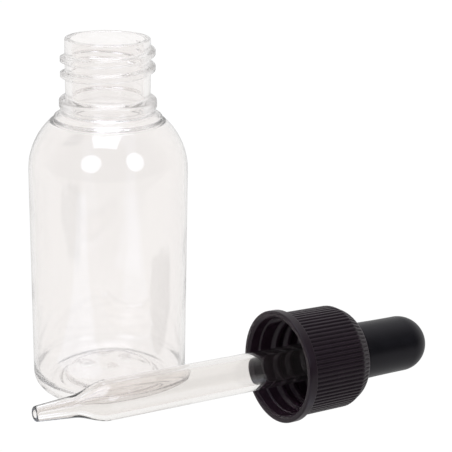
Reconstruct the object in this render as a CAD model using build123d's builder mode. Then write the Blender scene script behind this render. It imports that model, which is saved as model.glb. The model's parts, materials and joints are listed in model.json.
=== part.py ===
from build123d import *
from math import atan, cos, degrees, radians, sin, sqrt, tan
import os

# A 30 ml dropper bottle, taken apart: the bottle stands on its base, and the
# dropper (cap, rubber bulb and glass pipette) lies beside it on its cap.
# Frame: origin at the centre of the bottle's base, +Z up the bottle's axis,
# +X along the way the lying dropper points, from pipette tip to bulb.
# All sizes are in millimetres.

# --- screw finish, shared by bottle neck and cap (20 mm, 410 style) ---
NECK_R = 8.775  # outside radius of the neck between threads
THREAD_R = 9.75  # crest radius of the neck's thread
NECK_BORE_R = 7.4
THREAD_PITCH = 3.175  # eight turns to the inch
THREAD_ROOT_W = 2.0  # width of a thread where it meets the wall
THREAD_CREST_W = 0.8
THREAD_SINK = 0.25  # how far a thread's foot is buried in its wall

# --- bottle ---
BOTTLE_H = 76.5
BODY_R = 16.7
WALL = 0.75
SHOULDER_Z = 48.7  # where the straight body turns into the shoulder
SHOULDER_R = 14.3  # radius of the shoulder's arc
COLLAR_R = 11.25
COLLAR_TOP_Z = 60.3
COLLAR_FOOT_Z = 59.3
COLLAR_EDGE = 0.3
BEAD_R = 10.1
BEAD_Z = 63.1
BEAD_H = 3.0
HEEL_R = 3.0
PUSH_UP_R = 11.2  # the base is hollowed inside this radius
PUSH_UP_H = 1.6
BASE_T = 1.1
LIP_EDGE = 0.35
THREAD_START_Z = 68.6
THREAD_TURNS = 1.75
THREAD_ANGLE = 113.0  # where the neck's thread starts, about +Z from +X

# --- cap, measured along its own axis from the open rim ---
BAND_R = 11.75  # plain band round the open rim
BAND_W = 1.9
BAND_STEP = 0.3
RIB_R = 10.9  # crests of the grip ribs
RIB_COUNT = 72
RIB_GROOVE_R = 0.27
RIB_END = 14.7
CAP_H = 17.6
CAP_TOP_R = 9.0
CAP_SHOULDER_SAG = 0.35
RIM_EDGE = 0.25
CAP_THREAD_ROOT_R = 10.0
CAP_THREAD_CREST_R = 9.15
CAP_THREAD_START = 3.7
CAP_THREAD_TURNS = 2.4
CAP_THREAD_ANGLE = 30.0
RIM_BORE_R = 10.3  # clears the neck's bead
RIM_BORE_DEPTH = 2.6
RIM_CHAMFER = 0.5
RECESS_R = 9.2  # holds the bulb's flange
RECESS_START = 13.4
CAP_TOP_T = 2.0
CAP_HOLE_R = 6.25

# --- rubber bulb ---
FLANGE_R = 8.9
FLANGE_T = 1.55
CAP_GAP = 0.05  # between the flange and the cap's inner top
BULB_NECK_R = 6.0
BULB_NECK_END = 20.0
BULB_R = 6.05
BULB_WAIST_R = 6.0
BULB_STEP = 0.12
BULB_END = 39.1
BULB_WALL = 1.15

# --- glass pipette ---
TUBE_R = 3.95
TUBE_WALL = 1.0
TUBE_GAP = 0.05  # between the tube and the bulb's bore
TUBE_TOP = 20.3
TIP_END = -54.5
TIP_R = 1.45
TIP_BORE_R = 0.7
TIP_NECK_R = 2.1
TIP_LEN = 7.8
FLARE_LEN = 7.2
TIP_BORE_TAPER = 0.3

# --- where the dropper lies ---
RIM_X = 21.1
RIM_Y = -34.0
FLOOR_GAP = 0.02

# The cap touches the table with its band and with the far end of its ribs,
# so its axis leans down towards the bulb by the difference of the two radii.
LEAN = degrees(atan((BAND_R - RIB_R) / (RIB_END - BAND_W)))
RIM_Z = (BAND_R + BAND_W * tan(radians(LEAN))) * cos(radians(LEAN)) + FLOOR_GAP

axis_dir = Vector(cos(radians(LEAN)), 0, -sin(radians(LEAN)))
side_dir = Vector(0, 1, 0)
rim_centre = Vector(RIM_X, RIM_Y, RIM_Z)
dropper_axis = Axis(rim_centre, axis_dir)
# Profiles of the dropper's pieces are drawn with x as radius and y along its axis.
dropper_profile = Plane(origin=rim_centre, x_dir=side_dir, z_dir=side_dir.cross(axis_dir))
# Cross-sections of the dropper's pieces are drawn square to its axis.
dropper_section = Plane(origin=rim_centre, x_dir=side_dir, z_dir=axis_dir)

os.makedirs("parts", exist_ok=True)


# ---------------------------------------------------------------- bottle
inner_body_r = BODY_R - WALL
inner_shoulder_r = SHOULDER_R - WALL
inner_heel_r = HEEL_R - WALL
inner_floor_r = inner_body_r - inner_heel_r
shoulder_centre_r = BODY_R - SHOULDER_R
# the outer shoulder arc ends under the collar, the inner one at the neck's bore
shoulder_end_r = shoulder_centre_r + sqrt(SHOULDER_R**2 - (COLLAR_FOOT_Z - SHOULDER_Z) ** 2)
bore_foot_z = SHOULDER_Z + sqrt(inner_shoulder_r**2 - (NECK_BORE_R - shoulder_centre_r) ** 2)
floor_z = BASE_T
floor_dome_z = PUSH_UP_H + BASE_T
# the push-up is a dome centred on the bottle's axis
dome_r = (PUSH_UP_R**2 + PUSH_UP_H**2) / (2 * PUSH_UP_H)

# the thread's spine, turned to where the thread starts
neck_helix = Location((0, 0, THREAD_START_Z), (0, 0, THREAD_ANGLE)) * Helix(
    THREAD_PITCH, THREAD_PITCH * THREAD_TURNS, NECK_R - THREAD_SINK
)

with BuildPart() as bottle:
    with BuildSketch(Plane.XZ):
        with BuildLine():
            Polyline((0, PUSH_UP_H), (0, BOTTLE_H), (NECK_R, BOTTLE_H), (NECK_R, BEAD_Z + BEAD_H / 2))
            ThreePointArc((NECK_R, BEAD_Z + BEAD_H / 2), (BEAD_R, BEAD_Z), (NECK_R, BEAD_Z - BEAD_H / 2))
            Line((NECK_R, BEAD_Z - BEAD_H / 2), (COLLAR_R - COLLAR_EDGE, COLLAR_TOP_Z))
            Line((COLLAR_R - COLLAR_EDGE, COLLAR_TOP_Z), (COLLAR_R, COLLAR_TOP_Z - COLLAR_EDGE))
            Line((COLLAR_R, COLLAR_TOP_Z - COLLAR_EDGE), (COLLAR_R, COLLAR_FOOT_Z))
            Line((COLLAR_R, COLLAR_FOOT_Z), (shoulder_end_r, COLLAR_FOOT_Z))
            RadiusArc((shoulder_end_r, COLLAR_FOOT_Z), (BODY_R, SHOULDER_Z), SHOULDER_R)
            Line((BODY_R, SHOULDER_Z), (BODY_R, HEEL_R))
            RadiusArc((BODY_R, HEEL_R), (BODY_R - HEEL_R, 0), HEEL_R)
            Line((BODY_R - HEEL_R, 0), (PUSH_UP_R, 0))
            RadiusArc((PUSH_UP_R, 0), (0, PUSH_UP_H), -dome_r)
        make_face()
    revolve(axis=Axis.Z)

    # the thread's foot is buried in the neck, which is cut hollow afterwards
    helix_start = neck_helix @ 0
    outward = Vector(helix_start.X, helix_start.Y, 0)
    with BuildSketch(Plane(origin=helix_start, x_dir=outward, z_dir=neck_helix % 0)):
        with BuildLine():
            Polyline(
                (0, -THREAD_ROOT_W / 2),
                (THREAD_R - NECK_R + THREAD_SINK, -THREAD_CREST_W / 2),
                (THREAD_R - NECK_R + THREAD_SINK, THREAD_CREST_W / 2),
                (0, THREAD_ROOT_W / 2),
                close=True,
            )
        make_face()
    sweep(path=neck_helix, is_frenet=True)

    with BuildSketch(Plane.XZ):
        with BuildLine():
            Polyline((0, floor_dome_z), (0, BOTTLE_H), (NECK_BORE_R, BOTTLE_H), (NECK_BORE_R, bore_foot_z))
            RadiusArc((NECK_BORE_R, bore_foot_z), (inner_body_r, SHOULDER_Z), inner_shoulder_r)
            Line((inner_body_r, SHOULDER_Z), (inner_body_r, floor_z + inner_heel_r))
            RadiusArc((inner_body_r, floor_z + inner_heel_r), (inner_floor_r, floor_z), inner_heel_r)
            Line((inner_floor_r, floor_z), (PUSH_UP_R, floor_z))
            RadiusArc((PUSH_UP_R, floor_z), (0, floor_dome_z), -dome_r)
        make_face()
    revolve(axis=Axis.Z, mode=Mode.SUBTRACT)
    fillet(bottle.edges().filter_by(GeomType.CIRCLE).group_by(Axis.Z)[-1], LIP_EDGE)

bottle.part.label = "bottle"
export_step(bottle.part, "parts/bottle.step")


# ---------------------------------------------------------------- cap
# the inner thread's spine, placed on the cap's leaning axis and turned to where it starts
cap_thread_foot = dropper_section.offset(CAP_THREAD_START).location
cap_helix = (
    cap_thread_foot
    * Location((0, 0, 0), (0, 0, CAP_THREAD_ANGLE))
    * Helix(THREAD_PITCH, THREAD_PITCH * CAP_THREAD_TURNS, CAP_THREAD_ROOT_R + THREAD_SINK)
)

with BuildPart() as cap:
    with BuildSketch(dropper_profile):
        with BuildLine():
            Polyline(
                (RIM_BORE_R + RIM_CHAMFER, 0),
                (BAND_R - RIM_EDGE, 0),
                (BAND_R, RIM_EDGE),
                (BAND_R, BAND_W),
                (RIB_R, BAND_W + BAND_STEP),
                (RIB_R, RIB_END),
            )
            SagittaArc((RIB_R, RIB_END), (CAP_TOP_R, CAP_H), -CAP_SHOULDER_SAG)
            Polyline(
                (CAP_TOP_R, CAP_H),
                (CAP_HOLE_R, CAP_H),
                (CAP_HOLE_R, CAP_H - CAP_TOP_T),
                (RECESS_R, CAP_H - CAP_TOP_T),
                (RECESS_R, RECESS_START),
                (CAP_THREAD_ROOT_R, RECESS_START - (CAP_THREAD_ROOT_R - RECESS_R)),
                (CAP_THREAD_ROOT_R, RIM_BORE_DEPTH + (RIM_BORE_R - CAP_THREAD_ROOT_R)),
                (RIM_BORE_R, RIM_BORE_DEPTH),
                (RIM_BORE_R, RIM_CHAMFER),
                (RIM_BORE_R + RIM_CHAMFER, 0),
            )
        make_face()
    revolve(axis=dropper_axis)

    # grip ribs are what is left between shallow round grooves
    with BuildSketch(dropper_section.offset(BAND_W + BAND_STEP)):
        with PolarLocations(RIB_R, RIB_COUNT):
            Circle(RIB_GROOVE_R)
    extrude(amount=CAP_H - BAND_W - BAND_STEP, mode=Mode.SUBTRACT)

    helix_start = cap_helix @ 0
    inward = dropper_axis.position - helix_start
    inward = inward - axis_dir * inward.dot(axis_dir)
    with BuildSketch(Plane(origin=helix_start, x_dir=inward, z_dir=cap_helix % 0)):
        with BuildLine():
            Polyline(
                (0, -THREAD_ROOT_W / 2),
                (CAP_THREAD_ROOT_R - CAP_THREAD_CREST_R + THREAD_SINK, -THREAD_CREST_W / 2),
                (CAP_THREAD_ROOT_R - CAP_THREAD_CREST_R + THREAD_SINK, THREAD_CREST_W / 2),
                (0, THREAD_ROOT_W / 2),
                close=True,
            )
        make_face()
    sweep(path=cap_helix, is_frenet=True)

cap.part.label = "cap"
export_step(cap.part, "parts/cap.step")


# ---------------------------------------------------------------- bulb
flange_top = CAP_H - CAP_TOP_T - CAP_GAP
flange_foot = flange_top - FLANGE_T
bulb_bore_r = TUBE_R + TUBE_GAP
cavity_r = BULB_R - BULB_WALL
dome_start = BULB_END - BULB_R

with BuildPart() as bulb:
    with BuildSketch(dropper_profile):
        with BuildLine():
            Polyline(
                (bulb_bore_r, flange_foot),
                (FLANGE_R, flange_foot),
                (FLANGE_R, flange_top),
                (BULB_NECK_R, flange_top),
                (BULB_NECK_R, BULB_NECK_END),
                (BULB_R + BULB_STEP, BULB_NECK_END),
            )
            ThreePointArc(
                (BULB_R + BULB_STEP, BULB_NECK_END),
                (BULB_WAIST_R, (BULB_NECK_END + dome_start) / 2),
                (BULB_R, dome_start),
            )
            RadiusArc((BULB_R, dome_start), (0, BULB_END), -BULB_R)
            Line((0, BULB_END), (0, dome_start + cavity_r))
            RadiusArc((0, dome_start + cavity_r), (cavity_r, dome_start), cavity_r)
            Polyline(
                (cavity_r, dome_start),
                (cavity_r, TUBE_TOP + cavity_r - bulb_bore_r),
                (bulb_bore_r, TUBE_TOP),
                (bulb_bore_r, flange_foot),
            )
        make_face()
    revolve(axis=dropper_axis)

bulb.part.label = "bulb"
export_step(bulb.part, "parts/bulb.step")


# ---------------------------------------------------------------- pipette
tube_bore_r = TUBE_R - TUBE_WALL
flare_foot = TIP_END + TIP_LEN
flare_head = flare_foot + FLARE_LEN
flare_mid = (flare_foot + flare_head) / 2

with BuildPart() as pipette:
    with BuildSketch(dropper_profile):
        with BuildLine():
            Polyline((TIP_BORE_R, TIP_END), (TIP_R, TIP_END), (TIP_NECK_R, flare_foot))
            Spline(
                (TIP_NECK_R, flare_foot),
                ((TIP_NECK_R + TUBE_R) / 2, flare_mid),
                (TUBE_R, flare_head),
                tangents=((TIP_NECK_R - TIP_R, TIP_LEN), (0, 1)),
            )
            Polyline(
                (TUBE_R, flare_head),
                (TUBE_R, TUBE_TOP),
                (tube_bore_r, TUBE_TOP),
                (tube_bore_r, flare_head),
            )
            Spline(
                (tube_bore_r, flare_head),
                ((tube_bore_r + TIP_BORE_R) / 2, flare_mid),
                (TIP_BORE_R + TIP_BORE_TAPER, flare_foot),
                tangents=((0, -1), (-TIP_BORE_TAPER, -TIP_LEN)),
            )
            Line((TIP_BORE_R + TIP_BORE_TAPER, flare_foot), (TIP_BORE_R, TIP_END))
        make_face()
    revolve(axis=dropper_axis)

pipette.part.label = "pipette"
export_step(pipette.part, "parts/pipette.step")
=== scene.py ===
import json
from math import asin, atan2, ceil, cos, hypot, pi, radians, sin, sqrt, tan, tau

import bpy
import numpy as np
from mathutils import Matrix, Vector


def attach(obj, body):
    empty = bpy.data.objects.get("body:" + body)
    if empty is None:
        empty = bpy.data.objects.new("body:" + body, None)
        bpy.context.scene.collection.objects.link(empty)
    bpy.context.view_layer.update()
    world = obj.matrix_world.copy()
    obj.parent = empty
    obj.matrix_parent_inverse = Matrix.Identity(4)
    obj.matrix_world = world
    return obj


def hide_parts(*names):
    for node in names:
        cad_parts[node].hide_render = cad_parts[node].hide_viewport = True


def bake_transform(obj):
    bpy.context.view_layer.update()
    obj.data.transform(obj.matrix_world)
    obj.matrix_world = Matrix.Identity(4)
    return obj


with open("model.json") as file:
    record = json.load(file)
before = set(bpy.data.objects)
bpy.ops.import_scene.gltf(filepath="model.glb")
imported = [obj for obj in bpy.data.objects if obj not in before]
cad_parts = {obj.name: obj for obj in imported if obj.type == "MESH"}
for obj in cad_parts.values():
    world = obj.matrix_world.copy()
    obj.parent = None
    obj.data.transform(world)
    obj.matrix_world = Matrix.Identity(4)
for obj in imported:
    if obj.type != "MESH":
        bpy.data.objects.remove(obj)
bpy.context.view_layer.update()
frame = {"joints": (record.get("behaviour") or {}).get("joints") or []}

# A clear 30 ml dropper bottle with its dropper lying beside it. The pieces are sized in
# millimetres, and MM turns them into Blender's metres when a mesh is made. The studio and
# the camera are in metres.
MM = 0.001
joints = {joint["name"]: joint for joint in frame["joints"]}

# The dropper's own axis, from the joint that its cap turns on.
rim_centre = Vector(joints["cap_turn"]["pos_m"]) / MM
axis_dir = Vector(joints["cap_turn"]["axis"]).normalized()
side_dir = Vector((0, 1, 0))
up_dir = side_dir.cross(axis_dir) * -1

# --- sizes, in millimetres, as in the CAD model ---
NECK_R = 8.775
NECK_BORE_R = 7.4
THREAD_H = 0.975
THREAD_PITCH = 3.175
THREAD_ROOT_W = 2.0
THREAD_CREST_W = 0.8
THREAD_START_Z = 68.6
THREAD_TURNS = 1.75
THREAD_ANGLE = radians(113)
THREAD_TAPER = 0.07
BOTTLE_H = 76.5
BODY_R = 16.7
WALL = 0.75
SHOULDER_Z = 48.7
SHOULDER_R = 14.3
COLLAR_R = 11.25
COLLAR_TOP_Z = 60.3
COLLAR_FOOT_Z = 59.3
BEAD_R = 10.1
BEAD_Z = 63.1
BEAD_H = 3.0
HEEL_R = 3.0
PUSH_UP_R = 11.2
PUSH_UP_H = 1.6
BASE_T = 1.1
INNER_HEEL_R = 4.0
INNER_DOME_R = 9.4

BAND_R = 11.75
BAND_W = 1.9
RIB_R = 10.9
RIB_COUNT = 72
RIB_DEPTH = 0.3
RIB_END = 14.7
CAP_H = 17.6
CAP_TOP_R = 9.0
CAP_THREAD_ROOT_R = 10.0
CAP_THREAD_H = 0.85
CAP_THREAD_START = 3.7
CAP_THREAD_TURNS = 2.4
CAP_THREAD_ANGLE = radians(30)
RIM_BORE_R = 10.3
RIM_BORE_DEPTH = 2.6
RIM_CHAMFER = 0.5
RECESS_R = 9.2
RECESS_START = 13.4
CAP_TOP_T = 2.0
CAP_HOLE_R = 6.25

FLANGE_R = 8.9
FLANGE_FOOT = 14.0
FLANGE_TOP = 15.55
BULB_NECK_R = 6.0
BULB_NECK_END = 20.0
BULB_R = 6.05
BULB_WAIST_R = 6.0
BULB_STEP = 0.12
BULB_STEP_W = 0.25
BULB_END = 39.1
BULB_WALL = 1.15

TUBE_R = 3.95
TUBE_WALL = 1.0
TUBE_TOP = 20.3
TIP_END = -54.5
TIP_R = 1.45
TIP_BORE_R = 0.7
TIP_NECK_R = 2.1
TIP_LEN = 7.8
FLARE_LEN = 7.2
TIP_BORE_TAPER = 0.3

# --- what only the looks have ---
# A rib's groove: its share of the rib's width, how soft its sides are, and the lengths over
# which it starts above the band and runs out below the cap's top.
GROOVE_SHARE = 0.62
GROOVE_SOFT = 0.5
GROOVE_START = 0.25
GROOVE_END = 1.6

# How uneven the blown bottle and the drawn glass are, the lengths over which that fades
# out, and the slow waves behind it: turns round the wall, radians per millimetre, a shift.
WALL_WAVE = 0.06
BASE_WAVE = 0.22
BORE_WAVE = 0.03
SHOULDER_FADE = 8.0
HEEL_FADE = 4.0
BASE_FADE = 2.0
BORE_FADE = 4.0
WALL_WAVES = ((2, 0.11, 0.4), (3, -0.19, 2.1), (5, 0.27, 4.0), (7, -0.4, 1.3), (4, 0.62, 5.2))
BORE_WAVES = ((2, 0.05, 1.2), (3, -0.07, 0.3), (5, 0.09, 2.6))

# How finely the meshes are divided: points round each piece and across a rib, and the rows
# past the highest one that the rounded edge at a cap's or tube's top takes.
BOTTLE_POINTS = 288
BULB_POINTS = 192
PIPETTE_POINTS = 144
RIB_POINTS = 10
EDGE_ROWS = 8

# A rounding takes up at most this share of the two sides of its corner, and a side
# shorter than TINY counts as none.
SIDE_SHARE = 0.49
TINY = 1e-6


# ---------------------------------------------------------------- outlines
def straight(start, end, step):
    """Points from start towards end, about step apart, without end itself."""
    length = hypot(end[0] - start[0], end[1] - start[1])
    count = max(1, ceil(length / step))
    return [
        (start[0] + (end[0] - start[0]) * i / count, start[1] + (end[1] - start[1]) * i / count)
        for i in range(count)
    ]


def rounded(corners, step=1.0, arc_points=6):
    """An outline through (radius, height, rounding) corners, with each corner rounded off."""
    path = []
    last = corners[0][:2]
    for before, here, after in zip(corners, corners[1:], corners[2:]):
        corner = Vector(here[:2])
        back = Vector(before[:2]) - corner
        ahead = Vector(after[:2]) - corner
        if here[2] == 0 or back.length < TINY or ahead.length < TINY:
            path += straight(last, here[:2], step)
            last = here[:2]
            continue
        half = back.angle(ahead) / 2
        reach = min(here[2] / tan(half), back.length * SIDE_SHARE, ahead.length * SIDE_SHARE)
        inward = (back.normalized() + ahead.normalized()).normalized()
        centre = corner + inward * (reach * tan(half) / sin(half))
        start = corner + back.normalized() * reach - centre
        end = corner + ahead.normalized() * reach - centre
        sweep = start.angle_signed(end)
        path += straight(last, tuple(centre + start), step)
        for i in range(arc_points):
            turn = Matrix.Rotation(-sweep * i / arc_points, 2)
            point = centre + turn @ start
            path.append((point.x, point.y))
        last = tuple(centre + end)
    path += straight(last, corners[-1][:2], step)
    path.append(corners[-1][:2])
    return path


def arc(centre, radius, start, end, count):
    """Points on a circle from angle start to angle end, both in radians, ends included."""
    return [
        (centre[0] + radius * cos(start + (end - start) * i / count),
         centre[1] + radius * sin(start + (end - start) * i / count))
        for i in range(count + 1)
    ]


def smooth(t):
    """0 to 1 with soft ends."""
    t = np.clip(t, 0, 1)
    return t * t * (3 - 2 * t)


def slow_waves(waves, angle, height):
    """Slow unevenness round and along a wall, between -1 and 1."""
    total = 0
    for around, along, shift in waves:
        total = total + np.cos(around * angle + along * height + shift)
    return total / len(waves)


def base_waves(x, y):
    """Unevenness of the bottle's inner base, 0 at its centre, between about -1 and 1."""
    ripples = np.sin(0.8 * x + 0.4 * y) + np.sin(0.9 * y - 0.5 * x)
    dimples = np.sin(1.1 * x) * np.sin(0.9 * y)
    return (ripples + dimples) / 3


def thread_height(angle, height, start_angle, start, turns, depth):
    """How far a right-handed thread stands out at each angle and height, with run-out ends."""
    best = np.zeros(np.broadcast(angle, height).shape)
    first = ((angle - start_angle) % tau) / tau
    for k in range(ceil(turns) + 1):
        t = first + k
        line = start + THREAD_PITCH * t
        ends = smooth(np.minimum(t, turns - t) / THREAD_TAPER)
        side = (THREAD_ROOT_W / 2 - abs(height - line)) / ((THREAD_ROOT_W - THREAD_CREST_W) / 2)
        best = np.maximum(best, depth * ends * smooth(side) * (t <= turns))
    return best


# ---------------------------------------------------------------- meshes
def turned(name, outline, segments, place, relief=None, lift=None):
    """A closed smooth mesh: an outline of (radius, height) turned about an axis.

    relief(angle, height, row) adds to the radius and lift(x, y, row) to the height. place
    is a 4x4 from the axis frame to the part's frame. An outline whose ends lie on the axis
    closes there, and any other outline is joined end to start."""
    rows = len(outline)
    radius = np.array([p[0] for p in outline])
    height = np.array([p[1] for p in outline])
    angle = np.arange(segments) * tau / segments
    r = np.repeat(radius[:, None], segments, axis=1)
    if relief is not None:
        r = r + relief(angle[None, :], height[:, None], np.arange(rows)[:, None])
    x = r * np.cos(angle)
    y = r * np.sin(angle)
    z = np.repeat(height[:, None], segments, axis=1)
    if lift is not None:
        z = z + lift(x, y, np.arange(rows)[:, None])
    capped = radius[0] < TINY and radius[-1] < TINY
    verts = np.stack([x, y, z], axis=2).reshape(-1, 3)
    faces = []
    row_pairs = [(i, i + 1) for i in range(rows - 1)]
    if capped:
        inner = verts[segments:-segments]
        verts = np.vstack([inner, [[0, 0, height[0]], [0, 0, height[-1]]]])
        row_pairs = [(i, i + 1) for i in range(rows - 3)]
        first_pole, last_pole = len(inner), len(inner) + 1
        last_row = (rows - 3) * segments
        for j in range(segments):
            k = (j + 1) % segments
            faces.append((first_pole, k, j))
            faces.append((last_pole, last_row + j, last_row + k))
    else:
        row_pairs.append((rows - 1, 0))
    for a, b in row_pairs:
        for j in range(segments):
            k = (j + 1) % segments
            faces.append((a * segments + j, a * segments + k, b * segments + k, b * segments + j))
    mesh = bpy.data.meshes.new(name)
    mesh.from_pydata((verts * MM).tolist(), [], faces)
    mesh.transform(place)
    mesh.polygons.foreach_set("use_smooth", [True] * len(mesh.polygons))
    mesh.update()
    piece = bpy.data.objects.new(name, mesh)
    bpy.context.scene.collection.objects.link(piece)
    return piece


def dropper_place():
    """From a frame with +Z along the dropper's axis to the part's frame."""
    place = Matrix((side_dir, up_dir, axis_dir)).transposed().to_4x4()
    place.translation = rim_centre * MM
    return place


def stand_in(piece, made, node_name):
    """Gives a piece its material and shows it in place of a CAD node."""
    piece.data.materials.append(made)
    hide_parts(node_name)


# ---------------------------------------------------------------- bottle
def bottle_outline():
    """The wall's closed outline, the neck's first and end rows, and the inside's first row."""
    shoulder_centre_r = BODY_R - SHOULDER_R
    inner_r = BODY_R - WALL
    inner_shoulder_r = SHOULDER_R - WALL
    under = rounded(
        [
            (0, PUSH_UP_H, 0),
            (PUSH_UP_R - 1.9, PUSH_UP_H - 0.3, 1.2),
            (PUSH_UP_R, 0, 0.5),
            (PUSH_UP_R + 1, 0, 0),
        ],
        0.5,
    )
    heel = arc((BODY_R - HEEL_R, HEEL_R), HEEL_R, -pi / 2, 0, 14)
    shoulder_end = asin((COLLAR_FOOT_Z - SHOULDER_Z) / SHOULDER_R)
    shoulder = arc((shoulder_centre_r, SHOULDER_Z), SHOULDER_R, 0, shoulder_end, 36)
    foot = shoulder[-1]
    shoulder = shoulder[:-2]
    neck = rounded(
        [
            (*shoulder[-1], 0),
            (*foot, 0.5),
            (COLLAR_R, COLLAR_FOOT_Z, 0.3),
            (COLLAR_R, COLLAR_TOP_Z, 0.35),
            (NECK_R + 0.5, BEAD_Z - BEAD_H / 2 - 0.2, 0.5),
            (BEAD_R, BEAD_Z - 0.8, 0.7),
            (BEAD_R, BEAD_Z + 0.8, 0.7),
            (NECK_R, BEAD_Z + BEAD_H / 2, 0.4),
            (NECK_R, BOTTLE_H, 0.35),
            (NECK_BORE_R, BOTTLE_H, 0.35),
            (NECK_BORE_R, BOTTLE_H - 2, 0),
        ],
        step=0.12,
    )
    bore_foot_z = SHOULDER_Z + sqrt(inner_shoulder_r**2 - (NECK_BORE_R - shoulder_centre_r) ** 2)
    inner_end = atan2(bore_foot_z - SHOULDER_Z, NECK_BORE_R - shoulder_centre_r)
    bore = straight(neck[-1], (NECK_BORE_R, bore_foot_z), 0.5)[1:]
    inner_shoulder = arc((shoulder_centre_r, SHOULDER_Z), inner_shoulder_r, inner_end, 0, 36)
    inner_heel = arc((inner_r - INNER_HEEL_R, BASE_T + INNER_HEEL_R), INNER_HEEL_R, 0, -pi / 2, 16)
    inner_base = rounded(
        [
            (*inner_heel[-1], 0),
            (PUSH_UP_R - 0.6, BASE_T, 0.8),
            (INNER_DOME_R, PUSH_UP_H + BASE_T - 0.2, 1.0),
            (0, PUSH_UP_H + BASE_T + 0.1, 0),
        ],
        0.3,
    )
    outside = under + straight(under[-1], heel[0], 0.8)[1:] + heel
    outside += straight(heel[-1], shoulder[0], 1.2)[1:] + shoulder
    inside = inner_shoulder + straight(inner_shoulder[-1], inner_heel[0], 1.2)[1:] + inner_heel
    inside += inner_base[1:]
    outline = outside + neck[1:] + bore + inside
    return outline, len(outside), len(outside) + len(neck), len(outline) - len(inside)


def make_bottle(made):
    outline, neck_from, neck_to, inside_from = bottle_outline()
    radii = np.array([p[0] for p in outline])[:, None]
    heights = np.array([p[1] for p in outline])[:, None]

    def relief(angle, height, row):
        on_neck = (row >= neck_from) & (row < neck_to) & (height > BEAD_Z + BEAD_H / 2 + 0.3)
        on_neck = on_neck & (radii > NECK_R - 0.01)
        thread = thread_height(angle, height, THREAD_ANGLE, THREAD_START_Z, THREAD_TURNS, THREAD_H)
        below = smooth((SHOULDER_Z + SHOULDER_FADE - height) / SHOULDER_FADE)
        above = smooth((height - HEEL_FADE) / HEEL_FADE)
        wall = (row >= inside_from) * below * above
        return thread * on_neck + WALL_WAVE * wall * slow_waves(WALL_WAVES, angle, height)

    def lift(x, y, row):
        fade = smooth((INNER_DOME_R - np.hypot(x, y)) / BASE_FADE)
        on_floor = (row >= inside_from) & (heights < SHOULDER_Z / 2)
        return BASE_WAVE * on_floor * fade * base_waves(x, y)

    piece = turned("bottle_shell", outline, BOTTLE_POINTS, Matrix.Identity(4), relief, lift)
    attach(piece, "bottle")
    stand_in(piece, made, "bottle")


# ---------------------------------------------------------------- cap
def make_cap(made):
    corners = [
        (RIM_BORE_R, RIM_BORE_DEPTH / 2, 0),
        (RIM_BORE_R, RIM_CHAMFER, 0.15),
        (RIM_BORE_R + RIM_CHAMFER, 0, 0.15),
        (BAND_R, 0, 0.3),
        (BAND_R, BAND_W, 0.2),
        (RIB_R, BAND_W + 0.3, 0.15),
        (RIB_R, RIB_END, 1.2),
        (CAP_TOP_R + 0.5, CAP_H, 1.6),
        (CAP_HOLE_R, CAP_H, 0.3),
        (CAP_HOLE_R, CAP_H - CAP_TOP_T, 0.1),
        (RECESS_R, CAP_H - CAP_TOP_T, 0.2),
        (RECESS_R, RECESS_START, 0.2),
        (CAP_THREAD_ROOT_R, RECESS_START - 0.8, 0.3),
        (CAP_THREAD_ROOT_R, RIM_BORE_DEPTH + 0.3, 0.2),
        (RIM_BORE_R, RIM_BORE_DEPTH, 0.2),
        (RIM_BORE_R, RIM_BORE_DEPTH / 2, 0),
    ]
    outline = rounded(corners, step=0.2, arc_points=5)[:-1]
    radii = np.array([p[0] for p in outline])[:, None]
    heights = np.array([p[1] for p in outline])[:, None]
    outer_rows = (radii > CAP_TOP_R) & (heights > BAND_W + 0.2) & (radii < BAND_R)
    outer_rows = outer_rows & (np.arange(len(outline))[:, None] < np.argmax(heights) + EDGE_ROWS)
    inner_rows = (radii > RECESS_R + 0.3) & (radii < RIM_BORE_R - 0.02) & ~outer_rows

    def relief(angle, height, row):
        phase = abs(((angle * RIB_COUNT / tau) % 1) - 0.5) * 2
        groove = smooth((GROOVE_SHARE - phase) / GROOVE_SOFT)
        starts = smooth((height - BAND_W - 0.2) / GROOVE_START)
        ends = smooth((CAP_H - 0.4 - height) / GROOVE_END)
        ribs = -RIB_DEPTH * groove * starts * ends * outer_rows
        thread = thread_height(
            angle, height, CAP_THREAD_ANGLE, CAP_THREAD_START, CAP_THREAD_TURNS, CAP_THREAD_H
        )
        return ribs - thread * inner_rows

    piece = turned("cap_shell", outline, RIB_COUNT * RIB_POINTS, dropper_place(), relief)
    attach(piece, "cap")
    stand_in(piece, made, "cap")


# ---------------------------------------------------------------- bulb
def make_bulb(made):
    bore_r = TUBE_R + 0.05
    cavity_r = BULB_R - BULB_WALL
    dome_start = BULB_END - BULB_R
    barrel_start = BULB_NECK_END + BULB_STEP_W
    barrel = []
    count = 40
    for i in range(count + 1):
        t = i / count
        waist = (BULB_R - BULB_WAIST_R) * (1 - (2 * t - 1) ** 2)
        along = barrel_start + (dome_start - barrel_start) * t
        barrel.append((BULB_R + BULB_STEP * (1 - t) - waist, along))
    dome = arc((0, dome_start), BULB_R, 0, pi / 2, 24)[1:]
    cavity_dome = arc((0, dome_start), cavity_r, pi / 2, 0, 18)
    inside = rounded(
        [
            (cavity_r, dome_start, 0),
            (cavity_r, TUBE_TOP + cavity_r - bore_r, 0.2),
            (bore_r, TUBE_TOP, 0.1),
            (bore_r, FLANGE_FOOT, 0.25),
            (FLANGE_R, FLANGE_FOOT, 0.3),
            (FLANGE_R, FLANGE_TOP, 0.3),
            (BULB_NECK_R, FLANGE_TOP, 0.1),
            (BULB_NECK_R, BULB_NECK_END, 0.12),
            (BULB_R + BULB_STEP, BULB_NECK_END, 0.05),
            (BULB_R + BULB_STEP, barrel_start, 0),
        ],
        step=0.5,
    )
    outline = cavity_dome[:-1] + inside[:-1] + barrel + dome
    piece = turned("bulb_rubber", outline, BULB_POINTS, dropper_place())
    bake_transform(piece)
    stand_in(piece, made, "bulb")


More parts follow.
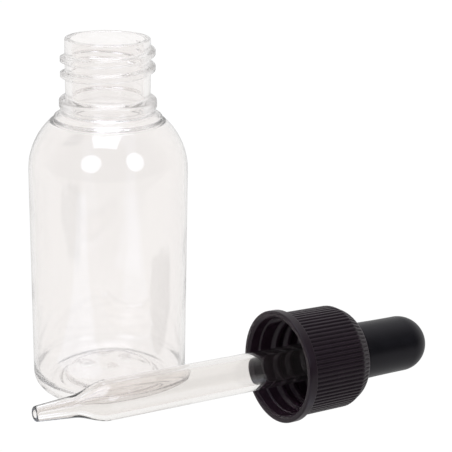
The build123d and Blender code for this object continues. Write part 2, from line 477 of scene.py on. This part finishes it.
# ---------------------------------------------------------------- pipette
def make_pipette(made):
    bore_r = TUBE_R - TUBE_WALL
    flare_foot = TIP_END + TIP_LEN
    flare_head = flare_foot + FLARE_LEN

    def flare(low_r, high_r, slope, count):
        """From the tip's own taper to the straight tube, as a cubic curve."""
        points = []
        for i in range(count + 1):
            t = i / count
            widening = (high_r - low_r) * (3 * t**2 - 2 * t**3)
            leaving = slope * FLARE_LEN * (t**3 - 2 * t**2 + t)
            points.append((low_r + widening + leaving, flare_foot + FLARE_LEN * t))
        return points

    outer_flare = flare(TIP_NECK_R, TUBE_R, (TIP_NECK_R - TIP_R) / TIP_LEN, 30)
    inner_flare = flare(TIP_BORE_R + TIP_BORE_TAPER, bore_r, TIP_BORE_TAPER / TIP_LEN, 30)[::-1]
    top = rounded(
        [
            (TUBE_R, flare_head, 0),
            (TUBE_R, TUBE_TOP, 0.4),
            (bore_r, TUBE_TOP, 0.4),
            (bore_r, flare_head, 0),
        ],
        step=1.0,
    )
    tip = rounded(
        [
            (TIP_BORE_R + TIP_BORE_TAPER, flare_foot, 0),
            (TIP_BORE_R, TIP_END, 0.3),
            (TIP_R, TIP_END, 0.4),
            (TIP_NECK_R, flare_foot, 0),
        ],
        step=0.4,
    )
    outline = outer_flare[:-1] + top[:-1] + inner_flare[:-1] + tip[:-1]
    heights = np.array([p[1] for p in outline])
    bore_from = np.argmax(heights) + EDGE_ROWS

    def relief(angle, height, row):
        starts = smooth((height - flare_foot) / BORE_FADE)
        ends = smooth((TUBE_TOP - height) / BORE_FADE)
        return BORE_WAVE * (row > bore_from) * starts * ends * slow_waves(BORE_WAVES, angle, height)

    piece = turned("pipette_tube", outline, PIPETTE_POINTS, dropper_place(), relief)
    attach(piece, "pipette")
    stand_in(piece, made, "pipette")


# ---------------------------------------------------------------- materials
def material(name):
    """A new material and its empty node tree."""
    made = bpy.data.materials.new(name)
    made.use_nodes = True
    made.node_tree.nodes.clear()
    return made, made.node_tree


def node(tree, kind, **inputs):
    """A new node with some inputs set. An underscore stands for a space in an input's name."""
    made = tree.nodes.new(kind)
    for key, value in inputs.items():
        made.inputs[key.replace("_", " ")].default_value = value
    return made


def noise(tree, scale, detail, roughness=0.5):
    """Noise fixed to the part, about 0 to 1. Scale counts its blobs per metre."""
    place = tree.nodes.new("ShaderNodeTexCoord")
    made = node(tree, "ShaderNodeTexNoise", Scale=scale, Detail=detail, Roughness=roughness)
    tree.links.new(place.outputs["Object"], made.inputs["Vector"])
    return made.outputs["Fac"]


def remap(tree, value, low, high, start=0.0, end=1.0, ease="LINEAR"):
    """value, which runs from start to end, brought to between low and high."""
    made = node(tree, "ShaderNodeMapRange", From_Min=start, From_Max=end, To_Min=low, To_Max=high)
    made.interpolation_type = ease
    tree.links.new(value, made.inputs["Value"])
    return made.outputs["Result"]


def tones(tree, value, dark_at, dark, light_at, light):
    """value as a colour between dark and light."""
    made = tree.nodes.new("ShaderNodeValToRGB")
    first, last = made.color_ramp.elements
    first.position = dark_at
    first.color = (*dark, 1)
    last.position = light_at
    last.color = (*light, 1)
    tree.links.new(value, made.inputs["Fac"])
    return made.outputs["Color"]


def bump(tree, height, strength, distance):
    made = node(tree, "ShaderNodeBump", Strength=strength, Distance=distance)
    tree.links.new(height, made.inputs["Height"])
    return made.outputs["Normal"]


def see_through(tree, clear, shadow_tint):
    """A clear shader for every ray except a shadow ray, which passes straight through."""
    path = tree.nodes.new("ShaderNodeLightPath")
    passing = node(tree, "ShaderNodeBsdfTransparent", Color=shadow_tint)
    mix = tree.nodes.new("ShaderNodeMixShader")
    out = tree.nodes.new("ShaderNodeOutputMaterial")
    tree.links.new(path.outputs["Is Shadow Ray"], mix.inputs[0])
    tree.links.new(clear.outputs[0], mix.inputs[1])
    tree.links.new(passing.outputs[0], mix.inputs[2])
    tree.links.new(mix.outputs[0], out.inputs["Surface"])
    return out


def clear_plastic():
    """Blow-moulded polyester: a little uneven, and faintly tinted by its own thickness."""
    made, tree = material("clear_plastic")
    waves = noise(tree, 120.0, 2.0, 0.4)
    clear = node(tree, "ShaderNodeBsdfPrincipled", IOR=1.57, Transmission_Weight=1.0)
    clear.inputs["Base Color"].default_value = (0.957, 0.940, 0.930, 1)
    tree.links.new(remap(tree, waves, 0.04, 0.08), clear.inputs["Roughness"])
    tree.links.new(bump(tree, waves, 0.15, 0.0004), clear.inputs["Normal"])
    out = see_through(tree, clear, (0.97, 0.965, 0.96, 1))
    haze = node(tree, "ShaderNodeVolumeAbsorption", Color=(0.1, 0.05, 0.0, 1), Density=6.0)
    tree.links.new(haze.outputs["Volume"], out.inputs["Volume"])
    return made


def clear_glass():
    """Drawn tube. Its faint glow is painted light: the tube glows a little of its own, standing for
    the light that real glass scatters.
    """
    made, tree = material("clear_glass")
    waves = noise(tree, 80.0, 1.0)
    clear = node(tree, "ShaderNodeBsdfPrincipled", Roughness=0.0, IOR=1.5, Transmission_Weight=1.0)
    clear.inputs["Base Color"].default_value = (0.915, 0.897, 0.880, 1)
    # Painted glow: a faint light given off by the tube itself, though it is no lamp.
    clear.inputs["Emission Color"].default_value = (0.98, 0.97, 0.96, 1)
    clear.inputs["Emission Strength"].default_value = 0.001
    tree.links.new(bump(tree, waves, 0.08, 0.0002), clear.inputs["Normal"])
    see_through(tree, clear, (0.97, 0.97, 0.965, 1))
    return made


def black_plastic():
    """Satin moulded plastic with a fine grain."""
    made, tree = material("black_plastic")
    grain = noise(tree, 4500.0, 3.0)
    patches = noise(tree, 350.0, 4.0)
    shader = node(tree, "ShaderNodeBsdfPrincipled", IOR=1.49, Specular_IOR_Level=0.32)
    tone = tones(tree, patches, 0.3, (0.0145, 0.0070, 0.0115), 0.7, (0.0195, 0.0100, 0.0158))
    tree.links.new(tone, shader.inputs["Base Color"])
    tree.links.new(remap(tree, patches, 0.24, 0.38), shader.inputs["Roughness"])
    tree.links.new(bump(tree, grain, 0.12, 0.00005), shader.inputs["Normal"])
    out = tree.nodes.new("ShaderNodeOutputMaterial")
    tree.links.new(shader.outputs[0], out.inputs["Surface"])
    return made


def black_rubber():
    """Rubber with a faint bluish bloom on it."""
    made, tree = material("black_rubber")
    grain = noise(tree, 3000.0, 4.0)
    bloom = noise(tree, 260.0, 5.0)
    shader = node(tree, "ShaderNodeBsdfPrincipled", IOR=1.5, Specular_IOR_Level=0.27)
    shader.inputs["Specular Tint"].default_value = (0.93, 0.88, 1.0, 1)
    shader.inputs["Sheen Weight"].default_value = 0.01
    shader.inputs["Sheen Roughness"].default_value = 0.5
    tone = tones(tree, bloom, 0.35, (0.0030, 0.0028, 0.0038), 0.75, (0.0055, 0.0052, 0.0068))
    tree.links.new(tone, shader.inputs["Base Color"])
    tree.links.new(remap(tree, bloom, 0.28, 0.38), shader.inputs["Roughness"])
    tree.links.new(bump(tree, grain, 0.1, 0.00005), shader.inputs["Normal"])
    out = tree.nodes.new("ShaderNodeOutputMaterial")
    tree.links.new(shader.outputs[0], out.inputs["Surface"])
    return made


# ---------------------------------------------------------------- studio
# In metres, with azimuths in degrees round from +X. FRONT_AZIMUTH is the camera's side.
FRONT_AZIMUTH = 242.5
LIT_POINT = (0, 0, 0.05)
LAMP_DISTANCE = 0.8
LAMP_COLOUR = (0.84, 0.88, 1.0)
STRIP_COLOUR = (0.66, 0.76, 1.0)
STRIP_HEIGHT = 0.0005

# The table glows evenly, but its mirror image is bright near the object and dark in front.
FLOOR_GLOW = 1.02
FLOOR_REACH = 4.0
FLOOR_DROP = 0.02 * MM
MIRRORED_NEAR = 0.6
MIRRORED_FAR = 0.15
NEAR_FLOOR = 0.09
FAR_FLOOR = 0.12

# The room's brightness behind the object and on the camera's side, seen and mirrored, and
# where it starts and ends to change, from -1 right behind to 1 right in front.
ROOM_BACK = 0.95
ROOM_FRONT = 0.4
ROOM_CHANGE = (-0.6, 0.6)
MIRRORED_BACK = 0.7
MIRRORED_FRONT = 0.05
MIRRORED_CHANGE = (-0.5, 0.35)


def direction(azimuth, elevation):
    """A unit vector from the object towards a compass angle and a height, in degrees."""
    a, e = radians(azimuth), radians(elevation)
    return Vector((cos(a) * cos(e), sin(a) * cos(e), sin(e)))


def forwardness(tree, output):
    """How far towards the camera's side a texture coordinate lies."""
    place = tree.nodes.new("ShaderNodeTexCoord")
    made = tree.nodes.new("ShaderNodeVectorMath")
    made.operation = "DOT_PRODUCT"
    made.inputs[1].default_value = direction(FRONT_AZIMUTH, 0)
    tree.links.new(place.outputs[output], made.inputs[0])
    return made.outputs["Value"]


def unless_mirrored(tree, mirrored):
    """A mix of two numbers that gives mirrored to a reflected ray and input 2 to any other."""
    path = tree.nodes.new("ShaderNodeLightPath")
    pick = tree.nodes.new("ShaderNodeMix")
    tree.links.new(path.outputs["Is Reflection Ray"], pick.inputs[0])
    tree.links.new(mirrored, pick.inputs[3])
    return pick


def floor_material():
    """A back-lit white table. It looks evenly white, and its mirror image is darker in front."""
    made, tree = material("floor_white")
    ahead = forwardness(tree, "Object")
    mirrored = remap(tree, ahead, MIRRORED_NEAR, MIRRORED_FAR, NEAR_FLOOR, FAR_FLOOR)
    pick = unless_mirrored(tree, mirrored)
    pick.inputs[2].default_value = FLOOR_GLOW
    glow = node(tree, "ShaderNodeEmission", Color=(1, 1, 1, 1))
    out = tree.nodes.new("ShaderNodeOutputMaterial")
    tree.links.new(pick.outputs[0], glow.inputs["Strength"])
    tree.links.new(glow.outputs[0], out.inputs["Surface"])
    return made


def make_floor():
    mesh = bpy.data.meshes.new("floor")
    sides = ((-1, -1), (1, -1), (1, 1), (-1, 1))
    corners = [(x * FLOOR_REACH, y * FLOOR_REACH, -FLOOR_DROP) for x, y in sides]
    mesh.from_pydata(corners, [], [(0, 1, 2, 3)])
    mesh.materials.append(floor_material())
    floor = bpy.data.objects.new("floor", mesh)
    bpy.context.scene.collection.objects.link(floor)


def area_light(name, width, height, radiance, colour, shape="RECTANGLE"):
    """A lamp of a size and shape, as bright as radiance."""
    lamp = bpy.data.lights.new(name, "AREA")
    lamp.shape = shape
    lamp.size = width
    lamp.size_y = height
    area = width * height * (pi / 4 if shape == "ELLIPSE" else 1)
    lamp.energy = radiance * pi * area
    lamp.color = colour
    holder = bpy.data.objects.new(name, lamp)
    holder.visible_camera = False
    bpy.context.scene.collection.objects.link(holder)
    return holder


def soft_box(name, azimuth, elevation, width, height, radiance, shape="RECTANGLE"):
    """A lamp that faces the object from an azimuth and an elevation."""
    holder = area_light(name, width, height, radiance, LAMP_COLOUR, shape)
    towards = direction(azimuth, elevation)
    holder.location = Vector(LIT_POINT) + towards * LAMP_DISTANCE
    holder.rotation_euler = towards.to_track_quat("Z", "Y").to_euler()


def floor_strip(name, azimuth, near, far, width, radiance):
    """A lamp that lies on the table in front, points up, and shows as a band in the bottle."""
    holder = area_light(name, far - near, width, radiance, STRIP_COLOUR)
    holder.location = direction(azimuth, 0) * (near + far) / 2 + Vector((0, 0, STRIP_HEIGHT))
    holder.rotation_euler = (pi, 0, radians(azimuth))


def make_world():
    """Bright all round but darker on the side that the camera stands on."""
    world = bpy.data.worlds.new("studio")
    bpy.context.scene.world = world
    world.use_nodes = True
    tree = world.node_tree
    tree.nodes.clear()
    ahead = forwardness(tree, "Generated")
    seen = remap(tree, ahead, ROOM_BACK, ROOM_FRONT, *ROOM_CHANGE, "SMOOTHSTEP")
    mirrored = remap(tree, ahead, MIRRORED_BACK, MIRRORED_FRONT, *MIRRORED_CHANGE, "SMOOTHSTEP")
    pick = unless_mirrored(tree, mirrored)
    sky = node(tree, "ShaderNodeBackground", Color=(1, 1, 1, 1))
    out = tree.nodes.new("ShaderNodeOutputWorld")
    tree.links.new(seen, pick.inputs[2])
    tree.links.new(pick.outputs[0], sky.inputs["Strength"])
    tree.links.new(sky.outputs[0], out.inputs["Surface"])


def make_studio():
    make_world()
    soft_box("overhead_box", azimuth=235, elevation=87, width=0.5, height=0.95, radiance=2.6)
    soft_box("left_box", 215, 28, width=0.42, height=0.42, radiance=2.3, shape="ELLIPSE")
    soft_box("right_box", 286, 28, width=0.36, height=0.42, radiance=2.3, shape="ELLIPSE")
    floor_strip("left_strip", azimuth=205, near=0.03, far=0.17, width=0.035, radiance=0.55)
    floor_strip("right_strip", azimuth=277, near=0.05, far=0.17, width=0.045, radiance=0.35)
    make_floor()
    scene = bpy.context.scene
    scene.view_settings.view_transform = "Standard"
    # Light crosses many walls inside the bottle and the glass tube.
    scene.cycles.max_bounces = 40
    scene.cycles.transmission_bounces = 40
    scene.cycles.glossy_bounces = 40


# ---------------------------------------------------------------- camera
CAMERA_AT = (-0.113985, -0.219262, 0.123171)
CAMERA_RIGHT = (0.84058, -0.54108, 0.02554)
CAMERA_UP = (0.15948, 0.29227, 0.94294)
CAMERA_LENS = 97.07


def make_camera():
    data = bpy.data.cameras.new("camera")
    data.sensor_width = 36.0
    data.lens = CAMERA_LENS
    data.clip_start = 0.01
    data.clip_end = 20.0
    right = Vector(CAMERA_RIGHT)
    back = right.cross(Vector(CAMERA_UP)).normalized()
    upward = back.cross(right).normalized()
    right.normalize()
    placed = Matrix((right, upward, back)).transposed().to_4x4()
    placed.translation = Vector(CAMERA_AT)
    camera = bpy.data.objects.new("camera", data)
    camera.matrix_world = placed
    bpy.context.scene.collection.objects.link(camera)
    bpy.context.scene.camera = camera


make_camera()
make_studio()
make_bottle(clear_plastic())
make_pipette(clear_glass())
make_cap(black_plastic())
make_bulb(black_rubber())
